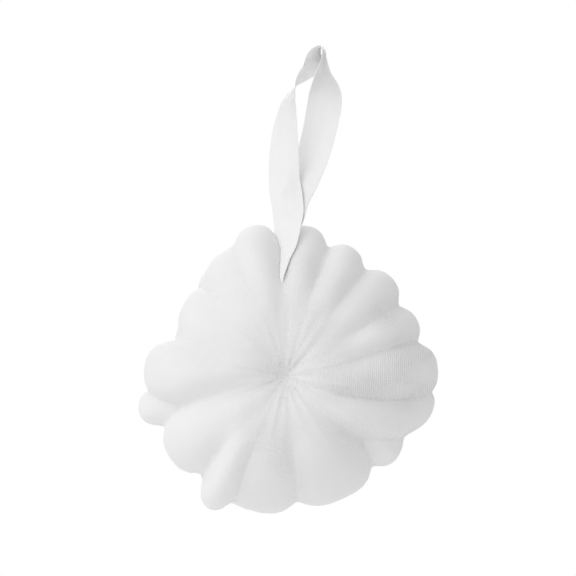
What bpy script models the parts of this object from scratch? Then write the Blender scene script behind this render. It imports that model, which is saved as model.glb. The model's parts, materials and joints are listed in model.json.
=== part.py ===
# Mesh bath pouf, hung by its ribbon loop. Metres, +Z up, the front faces -Y.
# The origin is the point inside the top of the loop that a hook carries.
# A long soft net tube is folded to and fro, and a cord ties the folds at their middle. They fan
# out as puffed lobes in front of the tie, round it and behind it. The ribbon is one loop with a
# half turn: it hangs from the hook and passes, gathered, between the cord and the tied neck.

import math
from collections import namedtuple

import bmesh
import bpy
from mathutils import Matrix, Vector

MM = 0.001

# Driving sizes
HANG_DROP = 0.143  # from the inner top of the loop down to the middle of the tie
TIE_LEFT = 0.001  # the tie hangs this far to the left, so that the puff's weight is plumb
NECK_RADIUS = 0.009  # the net where the cord ties it
RIBBON_WIDTH = 0.015
RIBBON_THICKNESS = 0.0005
CORD_DIAMETER = 0.0022
CORD_TURNS = 2
KNOT_RADIUS = 0.0030
RIBBON_GATHERED = 0.006  # its width under the cord
PINCH_RADIUS = 0.0008  # the lobes start this far from the middle
KNOT_BEARING = -50  # degrees from +X, seen from the front
CORD_END = 0.009  # each cut end of the cord stands this far out of the ring
CORD_END_SPLAY = 18  # degrees round the ring from the knot to each cut end
GAP = 0.0003  # between pieces that touch

# Cross-section of a lobe, as shares of its own width and depth at its root and its tip
ROOT_FULLNESS = 0.50
TIP_FULLNESS = 1.25
BLUNTNESS = 2.5  # 2 gives an ellipse, more gives a blunter end

# A layer of lobes: how far before the tie its lobes start and crest, and how deep they are
Layer = namedtuple("Layer", "root crest tip depth")
FRONT = Layer(root=-0.014, crest=-0.024, tip=-0.012, depth=0.036)
MIDDLE = Layer(root=0.0, crest=0.0, tip=0.0, depth=0.038)
BACK = Layer(root=0.014, crest=0.024, tip=0.013, depth=0.037)

# A lobe: its direction from the tie in degrees from +X, its reach and width, how many degrees its
# root lies away from its tip, and how much further forward (-) or back (+) it lies than its layer
Lobe = namedtuple("Lobe", "bearing reach width bend shift")
FRONT_LOBES = (
    Lobe(108, 0.0668, 0.030, 4, 0.000),
    Lobe(124, 0.0590, 0.036, 4, 0.001),
    Lobe(148, 0.0555, 0.036, 0, 0.002),
    Lobe(186, 0.0615, 0.034, -6, 0.001),
    Lobe(221, 0.0615, 0.037, 0, 0.001),
    Lobe(245, 0.0672, 0.022, 0, 0.003),
    Lobe(261, 0.0630, 0.036, 6, -0.001),
    Lobe(300, 0.0600, 0.043, -4, 0.002),
    Lobe(352, 0.0667, 0.025, -12, 0.001),
    Lobe(8, 0.0668, 0.026, -4, -0.002),
    Lobe(27, 0.0615, 0.022, 0, 0.000),
    Lobe(48, 0.0618, 0.024, 2, 0.001),
    Lobe(68, 0.0608, 0.025, 2, 0.001),
    Lobe(83, 0.0655, 0.022, 0, 0.002),
)
MIDDLE_LOBES = (
    Lobe(12, 0.0600, 0.030, 0, 0.003),
    Lobe(40, 0.0570, 0.030, 0, -0.002),
    Lobe(72, 0.0580, 0.032, 0, 0.003),
    Lobe(108, 0.0590, 0.032, 0, 0.002),
    Lobe(140, 0.0530, 0.032, 0, 0.000),
    Lobe(170, 0.0550, 0.032, 0, 0.004),
    Lobe(200, 0.0655, 0.022, 0, -0.002),
    Lobe(228, 0.0570, 0.030, 0, 0.003),
    Lobe(258, 0.0590, 0.032, 0, 0.002),
    Lobe(290, 0.0570, 0.032, 0, 0.004),
    Lobe(331, 0.0615, 0.030, 0, -0.003),
)
BACK_LOBES = (
    Lobe(0, 0.0600, 0.032, 4, 0.000),
    Lobe(30, 0.0560, 0.034, 0, 0.002),
    Lobe(61, 0.0580, 0.032, -4, -0.001),
    Lobe(92, 0.0570, 0.034, 0, 0.001),
    Lobe(124, 0.0600, 0.034, 5, 0.000),
    Lobe(156, 0.0530, 0.034, 0, 0.002),
    Lobe(188, 0.0580, 0.034, 0, -0.001),
    Lobe(219, 0.0570, 0.032, -4, 0.001),
    Lobe(248, 0.0600, 0.032, 0, 0.002),
    Lobe(277, 0.0570, 0.032, 4, 0.000),
    Lobe(306, 0.0580, 0.032, 0, 0.001),
    Lobe(334, 0.0590, 0.032, 0, 0.000),
)
CORE_RADIUS = 0.044  # crumpled net between the lobes
CORE_DEPTH = 0.025

LOBE_SIDES = 16
LOBE_RINGS = 12
CORE_SIDES = 24
CORE_RINGS = 12
KNOT_SIDES = 16
KNOT_RINGS = 10
RIBBON_STEPS = 4  # sections from one station to the next
CORD_STEPS = 20  # sections in a turn of the cord
CORD_ROUNDING_STEPS = 2
RING_STEPS = 40

NET_COLOUR = (0.88, 0.88, 0.88, 1.0)
RIBBON_COLOUR = (0.90, 0.90, 0.90, 1.0)
CORD_COLOUR = (0.82, 0.82, 0.81, 1.0)
NET_ROUGHNESS = 0.75
RIBBON_ROUGHNESS = 0.45
CORD_ROUGHNESS = 0.7
NET_CREASE = 50  # degrees between two faces from which their edge stays sharp
CORD_CREASE = 40
RIBBON_CREASE = 60

# Worked out
TIE = Vector((-TIE_LEFT, 0, -HANG_DROP))
CORD_RADIUS = CORD_DIAMETER / 2
CORD_PITCH = CORD_DIAMETER + GAP / 2
CORD_SPREAD = CORD_PITCH * CORD_TURNS / 2
RING_WIDE = NECK_RADIUS + GAP + CORD_RADIUS
RIBBON_UNDER = NECK_RADIUS + RIBBON_THICKNESS  # the gathered ribbon above the middle of the tie
NECK_FALL = RIBBON_GATHERED**2 / (8 * NECK_RADIUS)  # of the round neck across the gathered ribbon
RING_TOP = RIBBON_UNDER + RIBBON_THICKNESS / 2 + NECK_FALL + GAP + CORD_RADIUS
RING_HIGH = (RING_TOP + RING_WIDE) / 2
RING_CENTRE = TIE + Vector((0, 0, (RING_TOP - RING_WIDE) / 2))
RIBBON_ASIDE = CORD_SPREAD + CORD_RADIUS + GAP + RIBBON_THICKNESS  # before and behind the cord

# A station of the ribbon: across from the tie and forward (-) or back (+) in mm, its height as a
# share of the drop, its turn in degrees and its width as a share of the ribbon's. At a turn of 0
# its first edge points to the front, and at 90 to the right.
Station = namedtuple("Station", "across back height turn width", defaults=(1.0,))
LEFT_LEG = (
    Station(-2.2, -7.5, 0.135, 66, 0.6),
    Station(-6.5, -12.0, 0.190, 36, 0.85),
    Station(-10.1, -16.0, 0.250, 20),
    Station(-9.8, -19.0, 0.315, 2),
    Station(-7.9, -15.5, 0.390, 8),
    Station(-6.3, -8.0, 0.455, 30),
    Station(-7.4, -3.0, 0.515, 50),
    Station(-9.2, -1.0, 0.580, 63),
    Station(-10.1, 0.0, 0.660, 60),
    Station(-10.8, 0.0, 0.740, 46),
    Station(-10.5, 0.0, 0.820, 25),
    Station(-8.7, 0.0, 0.875, 8),
)
BAND = (
    Station(-5.9, 0.0, 0.911, -12),
    Station(-2.4, 0.0, 0.941, -32),
    Station(-1.6, 0.0, 0.972, -20),
)
RIGHT_LEG = (
    Station(2.5, 0.0, 0.972, -11),
    Station(3.7, 0.0, 0.918, -38),
    Station(5.1, 0.0, 0.855, -75),
    Station(4.6, 0.0, 0.785, -92),
    Station(3.4, 0.0, 0.715, -98),
    Station(1.8, -0.5, 0.640, -118),
    Station(0.5, -2.0, 0.575, -134),
    Station(-0.8, -5.0, 0.510, -151),
    Station(-1.8, -11.0, 0.450, -162),
    Station(-3.3, -19.5, 0.385, -167),
    Station(-5.2, -24.5, 0.315, -174),
    Station(-4.7, -21.0, 0.250, -168),
    Station(-1.9, -10.0, 0.190, -145, 0.85),
    Station(-0.8, 0.5, 0.135, -115, 0.6),
)
PEAK_RADIUS = 0.0007  # of the crease at the top of the loop, to the middle of the ribbon


def clear_scene():
    for obj in list(bpy.data.objects):
        bpy.data.objects.remove(obj, do_unlink=True)


def collection(name):
    made = bpy.data.collections.new(name)
    bpy.context.scene.collection.children.link(made)
    return made


def material(name, colour, roughness):
    made = bpy.data.materials.new(name)
    made.use_nodes = True
    shader = made.node_tree.nodes["Principled BSDF"]
    shader.inputs["Base Color"].default_value = colour
    shader.inputs["Roughness"].default_value = roughness
    shader.inputs["Metallic"].default_value = 0.0
    return made


def mesh_object(name, bm, folder):
    mesh = bpy.data.meshes.new(name)
    bm.normal_update()
    bmesh.ops.recalc_face_normals(bm, faces=bm.faces)
    bm.to_mesh(mesh)
    bm.free()
    obj = bpy.data.objects.new(name, mesh)
    folder.objects.link(obj)
    return obj


def finish(obj, made_of, crease_degrees):
    obj.data.materials.append(made_of)
    obj.data.shade_smooth()
    obj.data.set_sharp_from_angle(angle=math.radians(crease_degrees))


def boolean(obj, other, operation, solver="EXACT"):
    other.hide_render = True
    other.display_type = "WIRE"
    step = obj.modifiers.new(f"{operation.lower()} {other.name}", "BOOLEAN")
    step.operation = operation
    step.solver = solver
    step.object = other


def largest_shell(bm):
    """Deletes all but the largest connected shell, such as specks where three lobes meet."""
    left = set(bm.verts)
    shells = []
    while left:
        shell = set()
        edge = [left.pop()]
        while edge:
            vert = edge.pop()
            shell.add(vert)
            near = {link.other_vert(vert) for link in vert.link_edges} & left
            left -= near
            edge.extend(near)
        shells.append(shell)
    shells.sort(key=len)
    for shell in shells[:-1]:
        bmesh.ops.delete(bm, geom=list(shell), context="VERTS")


def apply_booleans(obj):
    bpy.context.view_layer.update()
    evaluated = obj.evaluated_get(bpy.context.evaluated_depsgraph_get())
    bm = bmesh.new()
    bm.from_mesh(bpy.data.meshes.new_from_object(evaluated))
    largest_shell(bm)
    obj.modifiers.clear()
    bm.to_mesh(obj.data)
    bm.free()


def shape_lobe(bm, lobe, layer):
    """Turns a round ball, with its poles along Z, into a lobe that grows out of the tie."""
    for vert in bm.verts:
        across, deep, along = vert.co
        share = (along + 1) / 2
        ring = math.sqrt(max(1 - along**2, 1e-12))
        blunt = (1 - min(abs(along), 1) ** BLUNTNESS) ** (1 / BLUNTNESS) / ring
        full = blunt * (ROOT_FULLNESS + (TIP_FULLNESS - ROOT_FULLNESS) * share)
        swell = math.sin(math.pi * share)
        ends = layer.root + (layer.tip - layer.root) * share
        middle = lobe.shift * share + ends + (layer.crest - (layer.root + layer.tip) / 2) * swell
        bearing = math.radians(lobe.bearing + lobe.bend * (1 - share))
        outward = Vector((math.cos(bearing), 0, math.sin(bearing)))
        sideways = Vector((-math.sin(bearing), 0, math.cos(bearing)))
        out = PINCH_RADIUS + (lobe.reach - PINCH_RADIUS) * share
        place = TIE + outward * out + sideways * (across * full * lobe.width / 2)
        vert.co = place + Vector((0, middle + deep * blunt * layer.depth / 2, 0))


def make_lobe(name, lobe, layer, folder):
    bm = bmesh.new()
    bmesh.ops.create_uvsphere(bm, u_segments=LOBE_SIDES, v_segments=LOBE_RINGS, radius=1)
    shape_lobe(bm, lobe, layer)
    return mesh_object(name, bm, folder)


def make_puff(parts, tools, net):
    bm = bmesh.new()
    flat = Matrix.Diagonal((CORE_RADIUS, CORE_DEPTH / 2, CORE_RADIUS, 1))
    bmesh.ops.create_uvsphere(
        bm,
        u_segments=CORE_SIDES,
        v_segments=CORE_RINGS,
        radius=1,
        matrix=Matrix.Translation(TIE) @ flat,
    )
    puff = mesh_object("mesh_puff", bm, parts)
    layers = (("front", FRONT, FRONT_LOBES), ("middle", MIDDLE, MIDDLE_LOBES), ("back", BACK, BACK_LOBES))
    for name, layer, lobes in layers:
        for number, lobe in enumerate(lobes, 1):
            grown = make_lobe(f"{name}_lobe_{number}", lobe, layer, tools)
            boolean(puff, grown, "UNION", "MANIFOLD")
    cutters = (
        make_groove(tools, GAP),
        make_knot("knot_pocket", tools, GAP),
        make_cut_ends("end_pockets", tools, GAP),
        make_ribbon("ribbon_slot", tools, spare=GAP),
    )
    for cutter in cutters:
        boolean(puff, cutter, "DIFFERENCE", "MANIFOLD")
    apply_booleans(puff)
    finish(puff, net, NET_CREASE)


def ribbon_stations():
    """Middle points, turns and widths along the ribbon, from under the cord and back to there."""
    aside = Vector((0, RIBBON_ASIDE, RING_TOP))
    corner = Vector((0, RIBBON_ASIDE - RIBBON_THICKNESS, RIBBON_UNDER + RIBBON_THICKNESS / 2))
    flat = Vector((0, CORD_SPREAD, RIBBON_UNDER))
    middle = Vector((0, 0, RIBBON_UNDER))
    front = Vector((1, -1, 1))
    gathered = RIBBON_GATHERED / RIBBON_WIDTH
    start = [(TIE + place, 90, gathered) for place in (middle, flat * front, corner * front, aside * front)]
    end = [(TIE + place, -90, gathered) for place in (aside, corner, flat, middle)]
    top = Vector((0, 0, RIBBON_THICKNESS / 2))
    peak = [
        (top + Vector((-PEAK_RADIUS, 0, -PEAK_RADIUS)), -12, 1),
        (top, -4, 1),
        (top + Vector((PEAK_RADIUS, 0, -PEAK_RADIUS)), -3, 1),
    ]

    def placed(stations):
        return [
            (TIE + Vector((s.across * MM, s.back * MM, s.height * HANG_DROP)), s.turn, s.width)
            for s in stations
        ]

    return start + placed(LEFT_LEG + BAND) + peak + placed(RIGHT_LEG) + end


def mixed(one, two, share):
    return one + (two - one) * share


def smooth_route(stations):
    """A smooth curve through the stations, by centripetal Catmull-Rom."""
    places = [place for place, turn, width in stations]
    places = [2 * places[0] - places[1], *places, 2 * places[-1] - places[-2]]
    route = []
    for number in range(1, len(places) - 2):
        a, b, c, d = places[number - 1 : number + 3]
        before, across, after = (math.sqrt((q - p).length) for p, q in ((a, b), (b, c), (c, d)))
        here, there = stations[number - 1], stations[number]
        for step in range(RIBBON_STEPS):
            share = step / RIBBON_STEPS
            ab = mixed(a, b, 1 + share * across / before)
            bc = mixed(b, c, share)
            cd = mixed(c, d, (share - 1) * across / after)
            early = mixed(ab, bc, (before + share * across) / (before + across))
            late = mixed(bc, cd, share * across / (across + after))
            turn = math.radians(mixed(here[1], there[1], share))
            route.append((mixed(early, late, share), turn, mixed(here[2], there[2], share)))
    return route


def make_ribbon(name, folder, spare=0.0):
    """Lofts the ribbon along its closed route, larger by the spare on every side."""
    route = smooth_route(ribbon_stations())
    bm = bmesh.new()
    sections = []
    for number, (place, turn, width) in enumerate(route):
        before = route[number - 1][0]
        after = route[(number + 1) % len(route)][0]
        along = (after - before).normalized()
        edge = Vector((math.sin(turn), -math.cos(turn), 0))
        edge = (edge - along * edge.dot(along)).normalized()
        wide = edge * (RIBBON_WIDTH * width / 2 + spare)
        thick = edge.cross(along) * (RIBBON_THICKNESS / 2 + spare)
        corners = (wide + thick, wide - thick, -wide - thick, -wide + thick)
        sections.append([bm.verts.new(place + corner) for corner in corners])
    half_turned = sections[0][2:] + sections[0][:2]
    # both flat sides are split along the same diagonal, so that they don't cross where it twists
    for one, two in zip(sections, sections[1:] + [half_turned]):
        bm.faces.new((one[0], one[1], two[1], two[0]))
        bm.faces.new((one[1], one[2], two[2]))
        bm.faces.new((one[1], two[2], two[1]))
        bm.faces.new((one[2], one[3], two[3], two[2]))
        bm.faces.new((one[3], one[0], two[3]))
        bm.faces.new((one[0], two[0], two[3]))
    return mesh_object(name, bm, folder)


def ring_point(degrees, out=0.0, back=0.0):
    angle = math.radians(degrees)
    across = (RING_WIDE + out) * math.cos(angle)
    up = (RING_HIGH + out) * math.sin(angle)
    return RING_CENTRE + Vector((across, back, up))


def cord_mesh(name, points, folder, spare=0.0):
    """A round cord through the points, as a closed mesh."""
    curve = bpy.data.curves.new(name, "CURVE")
    curve.dimensions = "3D"
    curve.bevel_depth = CORD_RADIUS + spare
    curve.bevel_resolution = CORD_ROUNDING_STEPS
    curve.use_fill_caps = True
    spline = curve.splines.new("POLY")
    spline.points.add(len(points) - 1)
    for target, point in zip(spline.points, points):
        target.co = (*point, 1)
    drawn = bpy.data.objects.new(name, curve)
    folder.objects.link(drawn)
    bpy.context.view_layer.update()
    evaluated = drawn.evaluated_get(bpy.context.evaluated_depsgraph_get())
    bm = bmesh.new()
    bm.from_mesh(bpy.data.meshes.new_from_object(evaluated))
    bpy.data.objects.remove(drawn)
    bmesh.ops.remove_doubles(bm, verts=bm.verts, dist=1e-6)
    return mesh_object(name, bm, folder)


def make_knot(name, folder, spare=0.0):
    bm = bmesh.new()
    across = KNOT_RADIUS + spare
    radii = (across, CORD_SPREAD + CORD_RADIUS + spare, across, 1)
    placed = Matrix.Translation(ring_point(KNOT_BEARING)) @ Matrix.Diagonal(radii)
    bmesh.ops.create_uvsphere(
        bm, u_segments=KNOT_SIDES, v_segments=KNOT_RINGS, radius=1, matrix=placed
    )
    return mesh_object(name, bm, folder)


def make_cut_ends(name, folder, spare=0.0):
    reach = CORD_END + spare
    ends = [
        ring_point(KNOT_BEARING + side * share * CORD_END_SPLAY, reach * share, side * share * CORD_SPREAD)
        for side, share in ((-1, 1.0), (-1, 0.5), (1, 0.0), (1, 0.5), (1, 1.0))
    ]
    return cord_mesh(name, ends, folder, spare)


def make_tie(parts, tools, cord):
    steps = CORD_STEPS * CORD_TURNS
    turns = [
        ring_point(KNOT_BEARING + 360 * CORD_TURNS * i / steps, back=CORD_SPREAD * (2 * i / steps - 1))
        for i in range(steps + 1)
    ]
    tie = cord_mesh("centre_tie", turns, parts)
    boolean(tie, make_knot("knot", tools), "UNION")
    boolean(tie, make_cut_ends("cut_ends", tools), "UNION")
    finish(tie, cord, CORD_CREASE)


def make_groove(folder, spare):
    """The room in the net for the turns of the cord, down to the tied neck."""
    half = CORD_SPREAD + CORD_RADIUS + spare
    bm = bmesh.new()
    sections = []
    for step in range(RING_STEPS):
        angle = math.tau * step / RING_STEPS
        neck = TIE + Vector((math.cos(angle), 0, math.sin(angle))) * NECK_RADIUS
        outer = [ring_point(math.degrees(angle), CORD_RADIUS + spare, back) for back in (-half, half)]
        inner = [neck + Vector((0, back, 0)) for back in (half, -half)]
        sections.append([bm.verts.new(corner) for corner in (*outer, *inner)])
    for one, two in zip(sections, sections[1:] + sections[:1]):
        for i in range(4):
            bm.faces.new((one[i], one[(i + 1) % 4], two[(i + 1) % 4], two[i]))
    return mesh_object("cord_groove", bm, folder)


def main():
    clear_scene()
    parts = collection("mesh bath pouf")
    tools = collection("cutters and lobes")
    net = material("net", NET_COLOUR, NET_ROUGHNESS)
    satin = material("ribbon", RIBBON_COLOUR, RIBBON_ROUGHNESS)
    cord = material("cord", CORD_COLOUR, CORD_ROUGHNESS)

    make_puff(parts, tools, net)
    make_tie(parts, tools, cord)
    finish(make_ribbon("ribbon_loop", parts), satin, RIBBON_CREASE)


main()
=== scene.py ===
import json
import math

import bpy
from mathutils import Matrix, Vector, noise
from mathutils.bvhtree import BVHTree
from mathutils.interpolate import poly_3d_calc

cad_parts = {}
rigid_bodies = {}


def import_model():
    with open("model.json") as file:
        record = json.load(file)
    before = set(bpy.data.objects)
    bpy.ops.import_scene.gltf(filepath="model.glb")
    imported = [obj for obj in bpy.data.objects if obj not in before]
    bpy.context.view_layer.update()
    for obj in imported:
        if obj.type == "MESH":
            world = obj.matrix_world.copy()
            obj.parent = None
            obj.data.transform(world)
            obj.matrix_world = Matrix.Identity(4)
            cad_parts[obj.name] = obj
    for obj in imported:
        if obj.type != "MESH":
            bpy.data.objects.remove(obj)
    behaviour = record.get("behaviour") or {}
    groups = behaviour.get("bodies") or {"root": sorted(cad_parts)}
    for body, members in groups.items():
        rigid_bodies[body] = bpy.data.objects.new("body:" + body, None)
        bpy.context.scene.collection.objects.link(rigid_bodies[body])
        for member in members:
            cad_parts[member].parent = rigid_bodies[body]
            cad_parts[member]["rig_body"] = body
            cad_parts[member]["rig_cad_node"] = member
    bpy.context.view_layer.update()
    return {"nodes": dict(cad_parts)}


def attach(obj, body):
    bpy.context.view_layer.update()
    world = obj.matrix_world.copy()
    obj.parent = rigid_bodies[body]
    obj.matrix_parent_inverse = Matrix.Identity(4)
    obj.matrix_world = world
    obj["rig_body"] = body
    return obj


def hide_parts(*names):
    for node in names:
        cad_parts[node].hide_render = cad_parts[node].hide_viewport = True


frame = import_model()
print("frame loaded")

pinch = Vector((-0.001, 0, -0.143))  # where the cord ties the folds


def selectOnly(obj):
    for other in bpy.data.objects:
        other.select_set(False)
    obj.select_set(True)
    bpy.context.view_layer.objects.active = obj


def applyModifiers(obj):
    selectOnly(obj)
    for step in list(obj.modifiers):
        bpy.ops.object.modifier_apply(modifier=step.name)


def newMaterial(name):
    made = bpy.data.materials.new(name)
    made.use_nodes = True
    return made, made.node_tree.nodes, made.node_tree.links, made.node_tree.nodes["Principled BSDF"]


def mathNode(nodes, links, operation, first, second=None):
    made = nodes.new("ShaderNodeMath")
    made.operation = operation
    for socket, value in zip(made.inputs, (first, second)):
        if value is None:
            continue
        if isinstance(value, (int, float)):
            socket.default_value = value
        else:
            links.new(value, socket)
    return made.outputs[0]


puff = {
    "foldSides": 40,
    "foldRings": 30,
    "rootFullness": 0.50,  # of a fold's width and depth at the pinch
    "tipFullness": 1.25,
    "bluntness": 2.5,
    "rootsFrom": 0.0008,  # the folds start this far from the pinch
    "slackLength": 1.25,  # net along a fold for each metre of its reach
    "coreRadius": 0.044,
    "coreDepth": 0.025,
    "voxel": 0.00175,  # of the skin over all the folds
    "pressure": 4.0,
    "frames": 20,
    "mostPuffed": 0.0006,  # how far the cloth run may move the skin
    "easing": 44,  # rounds of smoothing where the folds run together at the middle
    "easedTo": 0.015,  # fully eased out to here from the pinch
    "crispFrom": 0.037,  # hardly eased from here on
    "softSide": 0.020,  # the slack folds on the left are eased this much further out
    "softest": 2.8,  # bearing of the slackest fold
    "leastEased": 0.03,
    "pinchEasing": 50,  # more rounds right at the pinch
    "pinchEased": 0.013,
    "sway": 0.0012,  # broad unevenness of the folds
    "swayScale": 55,
    "swayFrom": 0.03,  # full from here on, less towards the pinch
    "pucker": 0.0009,  # depth of the small pleats at the pinch
    "puckerReach": 0.026,
    "puckerFrom": 0.006,
    "pleats": 9,  # how close they stand
    "rowSpacing": 0.00105,  # knitted rows across each fold
    "rowDrift": 9.0,  # how far the rows wander, in radians
    "rowWaver": 5.0,
    "rowDepth": 0.00036,
    "rowsEndAt": 0.90,  # the rows run out where the net faces straight outwards
    "rowsEndOver": 0.08,
    "stitchSpacing": 0.0009,
    "stitchShare": 0.2,
    "patchScale": 60,  # the rows show in patches
    # the knitted rows and stitches are also painted lighter and darker into the colour: painted shade of
    # their ridges, which the scattered light blurs out of the bump
    "darkestRowShade": 0.76,
    "lightestRowShade": 1.0,
    "holeShadeReach": 0.013,  # painted shade: dark specks for the shaded stitch holes round the pinch
    "holeShadeDepth": 0.22,
    "calmRows": 0.10,  # share of the row depth where the net is slack
    # and the share on the front folds where it is tight, by their bearing
    "tightFolds": {8.5: 1.0, 28: 0.55, 353: 0.35, 48: 0.25, 68: 0.2, 87: 0.3, 262.5: 0.3, 301: 0.25},
    "drawnIn": 0.0007,  # the skin is drawn into the creases to this distance from the folds
    "evening": 3,  # rounds of smoothing after that
    "scatter": 0.004,
    "scatterShare": 0.6,
}

# each layer: how far behind the tie its folds start, crest and end, and how deep they are
layers = {
    "front": (-0.024, -0.024, -0.012, 0.036),
    "middle": (0.0, 0.0, 0.0, 0.038),
    "back": (0.014, 0.024, 0.013, 0.037),
}

# each fold: bearing in degrees, reach, width, how many degrees its root lies aside, shift in depth
folds = {
    "front": (
        (108, 0.0660, 0.021, 4, 0.000),
        (119, 0.0592, 0.032, 4, 0.001),
        (150, 0.0532, 0.028, 0, 0.002),
        (184, 0.0602, 0.027, -4, 0.001),
        (222, 0.0610, 0.029, 0, 0.001),
        (246, 0.0664, 0.017, -7, -0.001),
        (262.5, 0.0602, 0.0345, 2, 0.001),
        (301, 0.0588, 0.037, -4, 0.002),
        (353, 0.0648, 0.024, -28, 0.003),
        (8.5, 0.0658, 0.026, -6, -0.004),
        (28, 0.0614, 0.021, 0, 0.000),
        (48, 0.0620, 0.0235, 2, 0.001),
        (68, 0.0620, 0.021, 2, 0.001),
        (87, 0.0652, 0.0205, 0, 0.002),
    ),
    "middle": (
        (12, 0.0588, 0.030, 0, 0.003),
        (40, 0.0558, 0.030, 0, -0.002),
        (72, 0.0568, 0.032, 0, 0.003),
        (108, 0.0578, 0.032, 0, 0.002),
        (140, 0.0518, 0.032, 0, 0.000),
        (170, 0.0490, 0.032, 0, 0.004),
        (200.5, 0.0650, 0.019, 0, -0.002),
        (228, 0.0555, 0.030, 0, 0.003),
        (258, 0.0575, 0.032, 0, 0.002),
        (290, 0.0558, 0.032, 0, 0.004),
        (331, 0.0598, 0.022, 0, -0.010),
    ),
    "back": (
        (0, 0.0588, 0.032, 4, 0.000),
        (30, 0.0548, 0.034, 0, 0.002),
        (61, 0.0568, 0.032, -4, -0.001),
        (92, 0.0558, 0.034, 0, 0.001),
        (124, 0.0575, 0.034, 5, 0.000),
        (156, 0.0512, 0.034, 0, 0.002),
        (188, 0.0560, 0.034, 0, -0.001),
        (219, 0.0558, 0.032, -4, 0.001),
        (248, 0.0588, 0.032, 0, 0.002),
        (277, 0.0558, 0.032, 4, 0.000),
        (306, 0.0568, 0.032, 0, 0.001),
        (334, 0.0562, 0.032, 0, 0.000),
    ),
}


def shapeFold(obj, fold, layer):
    bearing, reach, width, bend, shift = fold
    root, crest, tip, depth = layer
    alongFold = obj.data.attributes.new("alongFold", "FLOAT", "POINT")
    aroundFold = obj.data.attributes.new("aroundFold", "FLOAT", "POINT")
    tightness = obj.data.attributes.new("tightness", "FLOAT", "POINT")
    for vert in obj.data.vertices:
        across, deep, along = vert.co
        share = (along + 1) / 2
        ring = math.sqrt(max(1 - along**2, 1e-12))
        blunt = (1 - min(abs(along), 1) ** puff["bluntness"]) ** (1 / puff["bluntness"]) / ring
        full = blunt * (puff["rootFullness"] + (puff["tipFullness"] - puff["rootFullness"]) * share)
        middle = shift * share + root + (tip - root) * share
        middle += (crest - (root + tip) / 2) * math.sin(math.pi * share)
        angle = math.radians(bearing + bend * (1 - share))
        outward = Vector((math.cos(angle), 0, math.sin(angle)))
        sideways = Vector((-math.sin(angle), 0, math.cos(angle)))
        alongFold.data[vert.index].value = share * reach * puff["slackLength"]
        aroundFold.data[vert.index].value = math.atan2(across, -deep) * width / 2
        tight = puff["tightFolds"].get(bearing, puff["calmRows"])
        tightness.data[vert.index].value = puff["calmRows"] + (tight - puff["calmRows"]) * share
        vert.co = pinch + outward * (puff["rootsFrom"] + (reach - puff["rootsFrom"]) * share)
        vert.co += sideways * (across * full * width / 2)
        vert.co += Vector((0, middle + deep * blunt * depth / 2, 0))


def makeFolds():
    bpy.ops.mesh.primitive_uv_sphere_add(
        segments=puff["foldSides"], ring_count=puff["foldRings"], radius=1
    )
    ball = bpy.context.active_object
    made = []
    for name, layer in layers.items():
        for fold in folds[name]:
            lobe = ball.copy()
            lobe.data = ball.data.copy()
            bpy.context.scene.collection.objects.link(lobe)
            shapeFold(lobe, fold, layer)
            made.append(lobe)
    core = ball.copy()
    core.data = ball.data.copy()
    bpy.context.scene.collection.objects.link(core)
    for vert in core.data.vertices:
        across, deep, along = vert.co
        flat = (puff["coreRadius"] * across, puff["coreDepth"] / 2 * deep, puff["coreRadius"] * along)
        vert.co = pinch + Vector(flat)
    made.append(core)
    bpy.data.objects.remove(ball)
    selectOnly(made[0])
    for lobe in made:
        lobe.select_set(True)
    bpy.ops.object.join()
    return bpy.context.active_object


def puffUp(skin):
    before = [vert.co.copy() for vert in skin.data.vertices]
    cloth = skin.modifiers.new("cloth", "CLOTH")
    cloth.settings.quality = 4
    cloth.settings.mass = 0.1
    cloth.settings.tension_stiffness = 8
    cloth.settings.compression_stiffness = 4
    cloth.settings.bending_stiffness = 0.2
    cloth.settings.shrink_min = -0.05  # a little too much net, so that it wrinkles
    cloth.settings.use_pressure = True
    cloth.settings.uniform_pressure_force = puff["pressure"]
    cloth.settings.effector_weights.gravity = 0
    cloth.point_cache.frame_start = 1
    cloth.point_cache.frame_end = puff["frames"]
    for number in range(1, puff["frames"] + 1):
        bpy.context.scene.frame_set(number)
    applyModifiers(skin)
    bpy.context.scene.frame_set(1)
    for vert, start in zip(skin.data.vertices, before):
        moved = vert.co - start
        if moved.length > puff["mostPuffed"]:
            moved *= puff["mostPuffed"] / moved.length
        vert.co = start + moved


def easedShare(place):
    away = place - pinch
    outFrom = math.hypot(away.x, away.z)
    slack = puff["softSide"] * (1 + math.cos(math.atan2(away.z, away.x) - puff["softest"])) / 2
    share = (outFrom - puff["easedTo"] - slack) / (puff["crispFrom"] - puff["easedTo"])
    share = min(1, max(0, share))
    return 1 - share * share * (3 - 2 * share)


def easeMiddle(skin):
    eased = skin.vertex_groups.new(name="eased")
    pinched = skin.vertex_groups.new(name="pinched")
    for vert in skin.data.vertices:
        away = vert.co - pinch
        outFrom = math.hypot(away.x, away.z)
        eased.add([vert.index], max(puff["leastEased"], easedShare(vert.co)), "REPLACE")
        pinched.add([vert.index], max(0, 1 - outFrom / puff["pinchEased"]) ** 0.5, "REPLACE")
    for group, rounds in (("eased", puff["easing"]), ("pinched", puff["pinchEasing"])):
        ease = skin.modifiers.new(group, "SMOOTH")
        ease.factor = 0.5
        ease.iterations = rounds
        ease.vertex_group = group
    applyModifiers(skin)


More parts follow.
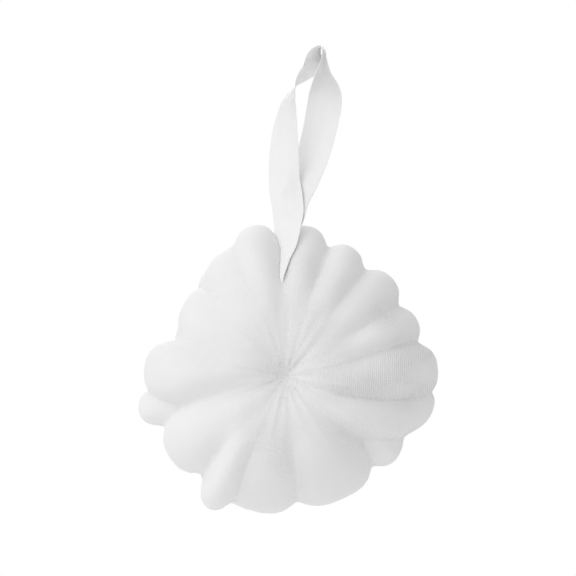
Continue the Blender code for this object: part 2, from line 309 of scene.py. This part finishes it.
def carryRows(skin, source):
    places = [vert.co.copy() for vert in source.data.vertices]
    faces = [tuple(face.vertices) for face in source.data.polygons]
    tree = BVHTree.FromPolygons(places, faces)
    along = source.data.attributes["alongFold"].data
    around = source.data.attributes["aroundFold"].data
    tightness = source.data.attributes["tightness"].data
    alongSkin = skin.data.attributes.new("alongFold", "FLOAT", "POINT")
    aroundSkin = skin.data.attributes.new("aroundFold", "FLOAT", "POINT")
    stretch = skin.data.attributes.new("stretch", "FLOAT", "POINT")
    drawn = []
    for vert in skin.data.vertices:
        place, normal, index, distance = tree.find_nearest(vert.co)
        corners = faces[index]
        weights = poly_3d_calc([places[i] for i in corners], place)
        alongSkin.data[vert.index].value = sum(w * along[i].value for w, i in zip(weights, corners))
        aroundSkin.data[vert.index].value = sum(w * around[i].value for w, i in zip(weights, corners))
        tight = sum(w * tightness[i].value for w, i in zip(weights, corners))
        outwards = abs(vert.normal.dot((vert.co - pinch).normalized()))
        tight *= 1 - max(0, min(1, (outwards - puff["rowsEndAt"]) / puff["rowsEndOver"]))
        patch = max(0.2, 0.9 + 0.9 * noise.noise(vert.co * puff["patchScale"]))
        stretch.data[vert.index].value = tight * patch
        if distance > puff["drawnIn"]:
            share = (1 - puff["drawnIn"] / distance) * (1 - easedShare(vert.co))
            drawn.append((vert, (place - vert.co) * share))
    return drawn


def unevenPushes(skin):
    pushes = []
    for vert in skin.data.vertices:
        away = vert.co - pinch
        outFrom = math.hypot(away.x, away.z)
        bearing = math.atan2(away.z, away.x)
        fade = math.exp(-((outFrom / puff["puckerReach"]) ** 2)) * min(1, outFrom / puff["puckerFrom"])
        ring = Vector((math.cos(bearing), math.sin(bearing), 0)) * puff["pleats"]
        ring.z = outFrom * 30 + away.y * 20  # the pleats run outwards and change slowly on the way
        sway = noise.noise(vert.co * puff["swayScale"]) * puff["sway"] * min(1, outFrom / puff["swayFrom"])
        pushes.append(noise.noise(ring) * puff["pucker"] * fade + sway)
    return pushes


def makePuff():
    source = makeFolds()
    print("folds", len(source.data.vertices))
    skin = source.copy()
    skin.data = source.data.copy()
    bpy.context.scene.collection.objects.link(skin)
    skin.name = "net_puff"
    fuse = skin.modifiers.new("fuse", "REMESH")
    fuse.mode = "VOXEL"
    fuse.voxel_size = puff["voxel"]
    applyModifiers(skin)
    print("skin", len(skin.data.vertices))
    puffUp(skin)
    print("cloth done")
    easeMiddle(skin)
    finer = skin.modifiers.new("finer", "SUBSURF")
    finer.levels = 1
    applyModifiers(skin)
    drawn = carryRows(skin, source)
    pushes = unevenPushes(skin)
    for vert, move in drawn:
        vert.co += move
    evened = skin.modifiers.new("evened", "SMOOTH")
    evened.iterations = puff["evening"]
    applyModifiers(skin)
    normals = [vert.normal.copy() for vert in skin.data.vertices]
    for vert, normal, push in zip(skin.data.vertices, normals, pushes):
        vert.co += normal * push
    bpy.data.objects.remove(source)
    selectOnly(skin)
    bpy.ops.object.shade_smooth()
    print("puff", len(skin.data.polygons))
    return skin


def netMaterial():
    made, nodes, links, shader = newMaterial("net")
    shader.inputs["Roughness"].default_value = 0.85
    shader.inputs["Specular IOR Level"].default_value = 0.2
    shader.inputs["Subsurface Weight"].default_value = puff["scatterShare"]
    shader.inputs["Subsurface Radius"].default_value = (1.0, 1.0, 1.0)
    shader.inputs["Subsurface Scale"].default_value = puff["scatter"]
    shader.inputs["Sheen Weight"].default_value = 0.05
    along = nodes.new("ShaderNodeAttribute")
    along.attribute_name = "alongFold"
    around = nodes.new("ShaderNodeAttribute")
    around.attribute_name = "aroundFold"
    stretch = nodes.new("ShaderNodeAttribute")
    stretch.attribute_name = "stretch"
    coords = nodes.new("ShaderNodeTexCoord")
    drift = nodes.new("ShaderNodeTexNoise")
    drift.inputs["Scale"].default_value = 90
    links.new(coords.outputs["Object"], drift.inputs["Vector"])
    waver = nodes.new("ShaderNodeTexNoise")
    waver.inputs["Scale"].default_value = 420
    links.new(coords.outputs["Object"], waver.inputs["Vector"])
    turns = mathNode(nodes, links, "MULTIPLY", along.outputs["Fac"], math.tau / puff["rowSpacing"])
    wander = mathNode(nodes, links, "MULTIPLY", drift.outputs["Fac"], puff["rowDrift"])
    waves = mathNode(nodes, links, "MULTIPLY", waver.outputs["Fac"], puff["rowWaver"])
    wander = mathNode(nodes, links, "ADD", wander, waves)
    rows = mathNode(nodes, links, "SINE", mathNode(nodes, links, "ADD", turns, wander))
    side = mathNode(nodes, links, "MULTIPLY", around.outputs["Fac"], math.tau / puff["stitchSpacing"])
    stitches = mathNode(nodes, links, "SINE", side)
    stitches = mathNode(nodes, links, "MULTIPLY", stitches, puff["stitchShare"])
    knit = mathNode(nodes, links, "ADD", rows, stitches)
    knit = mathNode(nodes, links, "MULTIPLY", knit, stretch.outputs["Fac"])
    bump = nodes.new("ShaderNodeBump")
    bump.inputs["Distance"].default_value = puff["rowDepth"]
    bump.inputs["Strength"].default_value = 0.6
    links.new(knit, bump.inputs["Height"])
    links.new(bump.outputs["Normal"], shader.inputs["Normal"])
    # painted shade: the knit pattern also lightens and darkens the base colour, standing in for the
    # shading of its ridges
    shade = nodes.new("ShaderNodeMapRange")
    shade.inputs["From Min"].default_value = -1.35
    shade.inputs["From Max"].default_value = 1.35
    shade.inputs["To Min"].default_value = puff["darkestRowShade"]
    shade.inputs["To Max"].default_value = puff["lightestRowShade"]
    links.new(knit, shade.inputs["Value"])

    # painted shade: dark specks for the shaded stitch holes round the pinch
    fromPinch = nodes.new("ShaderNodeVectorMath")
    fromPinch.operation = "SUBTRACT"
    fromPinch.inputs[1].default_value = pinch
    links.new(coords.outputs["Object"], fromPinch.inputs[0])
    flat = nodes.new("ShaderNodeVectorMath")
    flat.operation = "MULTIPLY"
    flat.inputs[1].default_value = (1, 0, 1)
    links.new(fromPinch.outputs["Vector"], flat.inputs[0])
    distance = nodes.new("ShaderNodeVectorMath")
    distance.operation = "LENGTH"
    links.new(flat.outputs["Vector"], distance.inputs[0])
    close = nodes.new("ShaderNodeMapRange")
    close.inputs["From Min"].default_value = puff["holeShadeReach"]
    close.inputs["From Max"].default_value = 0.001
    links.new(distance.outputs["Value"], close.inputs["Value"])
    grain = nodes.new("ShaderNodeTexNoise")
    grain.inputs["Scale"].default_value = 900
    upright = nodes.new("ShaderNodeMapping")
    upright.inputs["Scale"].default_value = (1.1, 0.6, 0.55)
    links.new(coords.outputs["Object"], upright.inputs["Vector"])
    links.new(upright.outputs["Vector"], grain.inputs["Vector"])
    holes = nodes.new("ShaderNodeMapRange")
    holes.inputs["From Min"].default_value = 0.56
    holes.inputs["From Max"].default_value = 0.72
    links.new(grain.outputs["Fac"], holes.inputs["Value"])
    dark = mathNode(nodes, links, "MULTIPLY", holes.outputs["Result"], close.outputs["Result"])
    dark = mathNode(nodes, links, "MULTIPLY", dark, puff["holeShadeDepth"])
    level = mathNode(nodes, links, "SUBTRACT", shade.outputs["Result"], dark)
    colour = nodes.new("ShaderNodeCombineColor")
    for socket in ("Red", "Green", "Blue"):
        links.new(level, colour.inputs[socket])
    links.new(colour.outputs["Color"], shader.inputs["Base Color"])
    return made


netPuff = makePuff()
netPuff.data.materials.clear()
netPuff.data.materials.append(netMaterial())
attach(netPuff, "root")
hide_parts("mesh_puff")

tie = {
    "voxel": 0.0004,
    "twist": 0.0016,  # from one strand of the cord to the next
    "strandDepth": 0.0002,
    "smoothing": 4,
}


def cordMaterial():
    made, nodes, links, shader = newMaterial("cord")
    shader.inputs["Roughness"].default_value = 0.75
    shader.inputs["Base Color"].default_value = (0.80, 0.80, 0.79, 1)
    coords = nodes.new("ShaderNodeTexCoord")
    strands = nodes.new("ShaderNodeTexWave")
    strands.bands_direction = "DIAGONAL"
    strands.inputs["Scale"].default_value = 1 / tie["twist"] / 6
    strands.inputs["Distortion"].default_value = 1.5
    links.new(coords.outputs["Object"], strands.inputs["Vector"])
    bump = nodes.new("ShaderNodeBump")
    bump.inputs["Distance"].default_value = tie["strandDepth"]
    links.new(strands.outputs["Fac"], bump.inputs["Height"])
    links.new(bump.outputs["Normal"], shader.inputs["Normal"])
    return made


def makeTie():
    cord = frame["nodes"]["centre_tie"].copy()
    cord.data = cord.data.copy()
    bpy.context.scene.collection.objects.link(cord)
    cord.name = "cord_tie"
    cord.parent = None
    for word in ("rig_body", "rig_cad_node"):  # the frame's own marks, which a copy doesn't keep
        del cord[word]
    selectOnly(cord)
    bpy.ops.object.mode_set(mode="EDIT")
    bpy.ops.mesh.select_all(action="SELECT")
    bpy.ops.mesh.remove_doubles(threshold=0.00001)
    bpy.ops.object.mode_set(mode="OBJECT")
    fuse = cord.modifiers.new("fuse", "REMESH")
    fuse.mode = "VOXEL"
    fuse.voxel_size = tie["voxel"]
    smooth = cord.modifiers.new("smooth", "SMOOTH")
    smooth.iterations = tie["smoothing"]
    applyModifiers(cord)
    bpy.ops.object.shade_smooth()
    print("tie", len(cord.data.polygons))
    return cord


cordTie = makeTie()
cordTie.data.materials.clear()
cordTie.data.materials.append(cordMaterial())
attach(cordTie, "root")
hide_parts("centre_tie")

ribbon = {
    "width": 0.015,
    "thickness": 0.0003,
    "columns": 16,
    "stepsEach": 6,
    "turnEasing": 6,  # rounds that even out how fast it turns
    "curl": 0.0002,  # its edges curl this far
    "crease": 0.0002,  # depth of the faint lengthwise creases
    "creasedFrom": -0.085,  # height where curl and creases begin
    "creasedOver": 0.03,
    "thread": 0.00032,
    "threadDepth": 0.00004,
    "scatter": 0.002,
    "lightThrough": 0.65,
    "doubledTo": -0.07,  # height up to which one leg lies on the other and stops that light
    "freeFrom": -0.035,
    "darkestThread": 0.96,
    "lightestThread": 0.98,
}

# from one end round the peak to the other: across and behind the tie in mm, height as a share of
# the drop from the peak, how far it is turned (0 edge on, 90 flat to the front), share of its width
stations = (
    (0, 0, 0.066, 90, 0.4),
    (0, -3.5, 0.068, 90, 0.4),
    (0, -4.2, 0.08, 90, 0.42),
    (-2.2, -7.5, 0.135, 66, 0.6),
    (-7.0, -15.5, 0.190, 40, 0.85),
    (-9.0, -27.0, 0.240, 38, 1),
    (-10.0, -31.4, 0.2825, 40, 1),
    (-8.4, -27.3, 0.341, 40, 1),
    (-6.0, -23.6, 0.390, 40, 1),
    (-5.2, -18.2, 0.455, 43, 1),
    (-6.4, -9.1, 0.515, 51, 1),
    (-8.8, -1.8, 0.580, 62, 1),
    (-10.1, 0.0, 0.660, 60, 1),
    (-10.8, 0.0, 0.740, 46, 1),
    (-10.4, 0.0, 0.820, 24, 1),
    (-9.5, 0.0, 0.848, 14, 1),
    (-8.5, 0.0, 0.874, 3, 1),
    (-6.9, 0.0, 0.894, -12, 1),
    (-4.9, 0.0, 0.913, -24, 1),
    (-2.7, 0.0, 0.932, -32, 1),
    (-1.3, 0.0, 0.952, -34, 1),
    (-1.0, 0.0, 0.975, -27, 1),
    (-0.2, 0.0, 0.9935, -13, 1),
    (1.0, 0.0, 1.0017, -7, 1),
    (2.1, 0.0, 0.9935, -5, 1),
    (2.7, 0.0, 0.965, -8, 1),
    (3.1, 0.0, 0.918, -30, 1),
    (4.5, 0.0, 0.873, -64, 1),
    (5.1, 0.0, 0.835, -88, 1),
    (4.6, 0.0, 0.785, -102, 1),
    (3.4, 0.0, 0.715, -108, 1),
    (1.4, -0.5, 0.640, -114, 1),
    (-1.2, -5.0, 0.575, -118, 1),
    (-3.8, -10.2, 0.515, -128, 1),
    (-4.7, -17.6, 0.455, -137, 1),
    (-6.7, -21.7, 0.390, -140, 1),
    (-9.2, -25.2, 0.341, -140, 1),
    (-10.6, -29.8, 0.2825, -140, 1),
    (-9.6, -25.2, 0.240, -142, 1),
    (-5.2, -13.0, 0.190, -140, 0.85),
    (-0.8, 0.5, 0.135, -115, 0.6),
    (0, 4.2, 0.08, -90, 0.42),
    (0, 3.5, 0.068, -90, 0.4),
    (0, 0, 0.066, -90, 0.4),
)


def ribbonRoute():
    drop = -pinch.z
    placed = [
        (pinch + Vector((x / 1000, y / 1000, share * drop)), turn, width)
        for x, y, share, turn, width in stations
    ]
    spots = [place for place, turn, width in placed]
    spots = [2 * spots[0] - spots[1], *spots, 2 * spots[-1] - spots[-2]]
    route = []
    for number in range(1, len(spots) - 2):
        a, b, c, d = spots[number - 1 : number + 3]
        before, middle, after = (math.sqrt((q - p).length) for p, q in ((a, b), (b, c), (c, d)))
        for step in range(ribbon["stepsEach"]):
            share = step / ribbon["stepsEach"]
            ab = a.lerp(b, 1 + share * middle / before)
            bc = b.lerp(c, share)
            cd = c.lerp(d, (share - 1) * middle / after)
            early = ab.lerp(bc, (before + share * middle) / (before + middle))
            late = bc.lerp(cd, share * middle / (middle + after))
            here, there = placed[number - 1], placed[number]
            turn = math.radians(here[1] + (there[1] - here[1]) * share)
            route.append((early.lerp(late, share), turn, here[2] + (there[2] - here[2]) * share))
    route.append((spots[-2], math.radians(placed[-1][1]), placed[-1][2]))
    turns = [turn for place, turn, width in route]
    for number in range(ribbon["turnEasing"]):
        inner = [(a + 2 * b + c) / 4 for a, b, c in zip(turns, turns[1:], turns[2:])]
        turns = [turns[0], *inner, turns[-1]]
    return [(place, turn, width) for (place, _, width), turn in zip(route, turns)]


def makeRibbon():
    route = ribbonRoute()
    rows = len(route) - 1
    length = sum((route[i + 1][0] - route[i][0]).length for i in range(rows))
    bpy.ops.mesh.primitive_grid_add(
        x_subdivisions=ribbon["columns"], y_subdivisions=rows, size=1, calc_uvs=True
    )
    strip = bpy.context.active_object
    strip.name = "satin_ribbon"
    for vert in strip.data.vertices:
        number = round((vert.co.y + 0.5) * rows)
        side = vert.co.x * 2
        place, turn, width = route[number]
        along = (route[min(number + 1, rows)][0] - route[max(number - 1, 0)][0]).normalized()
        edge = Vector((math.sin(turn), -math.cos(turn), 0))
        edge = (edge - along * edge.dot(along)).normalized()
        face = edge.cross(along)
        free = max(0, min(1, (place.z - ribbon["creasedFrom"]) / ribbon["creasedOver"]))
        push = ribbon["curl"] * (side**2 - 0.4) * free
        push += ribbon["crease"] * noise.noise(Vector((side * 3.5, place.z * 25, turn * 0.4))) * free
        vert.co = place + edge * (side * ribbon["width"] * width / 2) + face * push
    solid = strip.modifiers.new("thick", "SOLIDIFY")
    solid.thickness = ribbon["thickness"]
    solid.offset = 0
    applyModifiers(strip)
    bpy.ops.object.shade_smooth_by_angle(angle=math.radians(50))
    print("ribbon", len(strip.data.polygons), "length", round(length, 4))
    return strip, length


def satinMaterial(length):
    made, nodes, links, shader = newMaterial("satin")
    shader.inputs["Roughness"].default_value = 0.42
    shader.inputs["Specular IOR Level"].default_value = 0.35
    shader.inputs["Anisotropic"].default_value = 0.4
    shader.inputs["Subsurface Radius"].default_value = (1.0, 1.0, 1.0)
    shader.inputs["Subsurface Scale"].default_value = ribbon["scatter"]
    coords = nodes.new("ShaderNodeTexCoord")
    place = nodes.new("ShaderNodeSeparateXYZ")
    links.new(coords.outputs["Object"], place.inputs["Vector"])
    through = nodes.new("ShaderNodeMapRange")
    through.inputs["From Min"].default_value = ribbon["doubledTo"]
    through.inputs["From Max"].default_value = ribbon["freeFrom"]
    through.inputs["To Max"].default_value = ribbon["lightThrough"]
    links.new(place.outputs["Z"], through.inputs["Value"])
    links.new(through.outputs["Result"], shader.inputs["Subsurface Weight"])

    # plain weave
    flat = nodes.new("ShaderNodeUVMap")
    split = nodes.new("ShaderNodeSeparateXYZ")
    links.new(flat.outputs["UV"], split.inputs["Vector"])
    threadsAcross = math.tau * ribbon["width"] / ribbon["thread"]
    threadsAlong = math.tau * length / ribbon["thread"]
    across = mathNode(nodes, links, "MULTIPLY", split.outputs["X"], threadsAcross)
    along = mathNode(nodes, links, "MULTIPLY", split.outputs["Y"], threadsAlong)
    across = mathNode(nodes, links, "SINE", across)
    along = mathNode(nodes, links, "SINE", along)
    weave = mathNode(nodes, links, "ADD", across, along)
    bump = nodes.new("ShaderNodeBump")
    bump.inputs["Distance"].default_value = ribbon["threadDepth"]
    bump.inputs["Strength"].default_value = 0.5
    links.new(weave, bump.inputs["Height"])
    links.new(bump.outputs["Normal"], shader.inputs["Normal"])
    shade = nodes.new("ShaderNodeMapRange")
    shade.inputs["From Min"].default_value = -2
    shade.inputs["From Max"].default_value = 2
    shade.inputs["To Min"].default_value = ribbon["darkestThread"]
    shade.inputs["To Max"].default_value = ribbon["lightestThread"]
    links.new(weave, shade.inputs["Value"])
    colour = nodes.new("ShaderNodeCombineColor")
    for socket in ("Red", "Green", "Blue"):
        links.new(shade.outputs["Result"], colour.inputs[socket])
    links.new(colour.outputs["Color"], shader.inputs["Base Color"])
    return made


satinRibbon, ribbonLength = makeRibbon()
satinRibbon.data.materials.append(satinMaterial(ribbonLength))
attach(satinRibbon, "root")
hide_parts("ribbon_loop")

studio = {
    "floorSize": 0.5,
    "floorHeight": -0.262,
    "floorColour": (0.93, 0.93, 0.93, 1),
    "lean": 5.85,  # degrees that the photo's camera leans against the plumb line
    "distance": 3.0,
    "seenAcross": 0.2506,  # the width that the picture takes in at the pouf
    "skyLight": 0.64,
    "skySeen": 1.0,
}
aim = Vector((-0.0036, 0, -0.1053))  # the middle of the picture

# each lamp: place, size, power
lamps = {
    "key": ((-0.9, -0.6, 0.45), 0.9, 4.5),
    "front": ((-0.2, -1.2, 0.0), 1.0, 1.0),
    "back": ((-0.1, 0.7, 0.35), 0.7, 2.3),
}


def makeFloor():
    bpy.ops.mesh.primitive_plane_add(size=studio["floorSize"], location=(0, 0, studio["floorHeight"]))
    floor = bpy.context.active_object
    floor.name = "floor"
    paint, nodes, links, shader = newMaterial("floor paint")
    shader.inputs["Base Color"].default_value = studio["floorColour"]
    shader.inputs["Roughness"].default_value = 0.9
    floor.data.materials.append(paint)


def makeCamera():
    place = aim + Vector((0, -studio["distance"], 0))
    bpy.ops.object.camera_add(location=place, rotation=(math.pi / 2, -math.radians(studio["lean"]), 0))
    camera = bpy.context.active_object
    camera.data.sensor_width = 36
    camera.data.lens = 36 * studio["distance"] / studio["seenAcross"]
    camera.data.clip_start = 0.05
    bpy.context.scene.camera = camera


def makeLamps():
    for name, (place, size, power) in lamps.items():
        bpy.ops.object.light_add(type="AREA", location=place)
        lamp = bpy.context.active_object
        lamp.name = name
        lamp.data.size = size
        lamp.data.energy = power
        lamp.rotation_euler = (aim - Vector(place)).to_track_quat("-Z", "Y").to_euler()


def makeSky():
    world = bpy.data.worlds.new("studio")
    bpy.context.scene.world = world
    world.use_nodes = True
    nodes = world.node_tree.nodes
    links = world.node_tree.links
    sky = nodes["Background"]
    rays = nodes.new("ShaderNodeLightPath")
    level = nodes.new("ShaderNodeMapRange")
    level.inputs["To Min"].default_value = studio["skyLight"]
    level.inputs["To Max"].default_value = studio["skySeen"]
    links.new(rays.outputs["Is Camera Ray"], level.inputs["Value"])
    links.new(level.outputs["Result"], sky.inputs["Strength"])
    sky.inputs["Color"].default_value = (1, 1, 1, 1)


makeFloor()
makeCamera()
makeLamps()
makeSky()
print("studio lit")

bpy.context.scene.view_settings.view_transform = "Standard"
